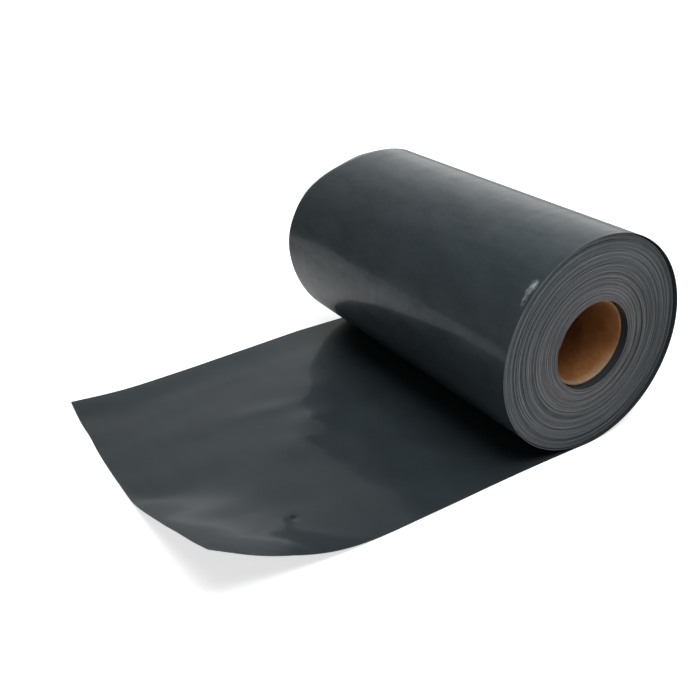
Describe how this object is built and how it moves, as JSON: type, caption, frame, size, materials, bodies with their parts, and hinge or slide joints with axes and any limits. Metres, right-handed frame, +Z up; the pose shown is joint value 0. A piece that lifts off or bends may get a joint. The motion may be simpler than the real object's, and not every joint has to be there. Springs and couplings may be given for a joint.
{
  "type": "roll of damp proof course",
  "caption": "Roll of plain damp proof course membrane on a cardboard core, lying on its side with its last turn run out flat on the floor.",
  "frame": {"origin": "centre of the part's footprint, on the floor it lies on", "axes": "+Y along the roll's axis, -X the way the loose end runs, +Z up"},
  "size_m": [0.3984, 0.3098, 0.169],
  "materials": {
    "membrane": "satin",
    "cardboard": "matte"
  },
  "bodies": {
    "root": {"membrane": "membrane", "cardboard_core": "cardboard"}
  },
  "joints": []
}
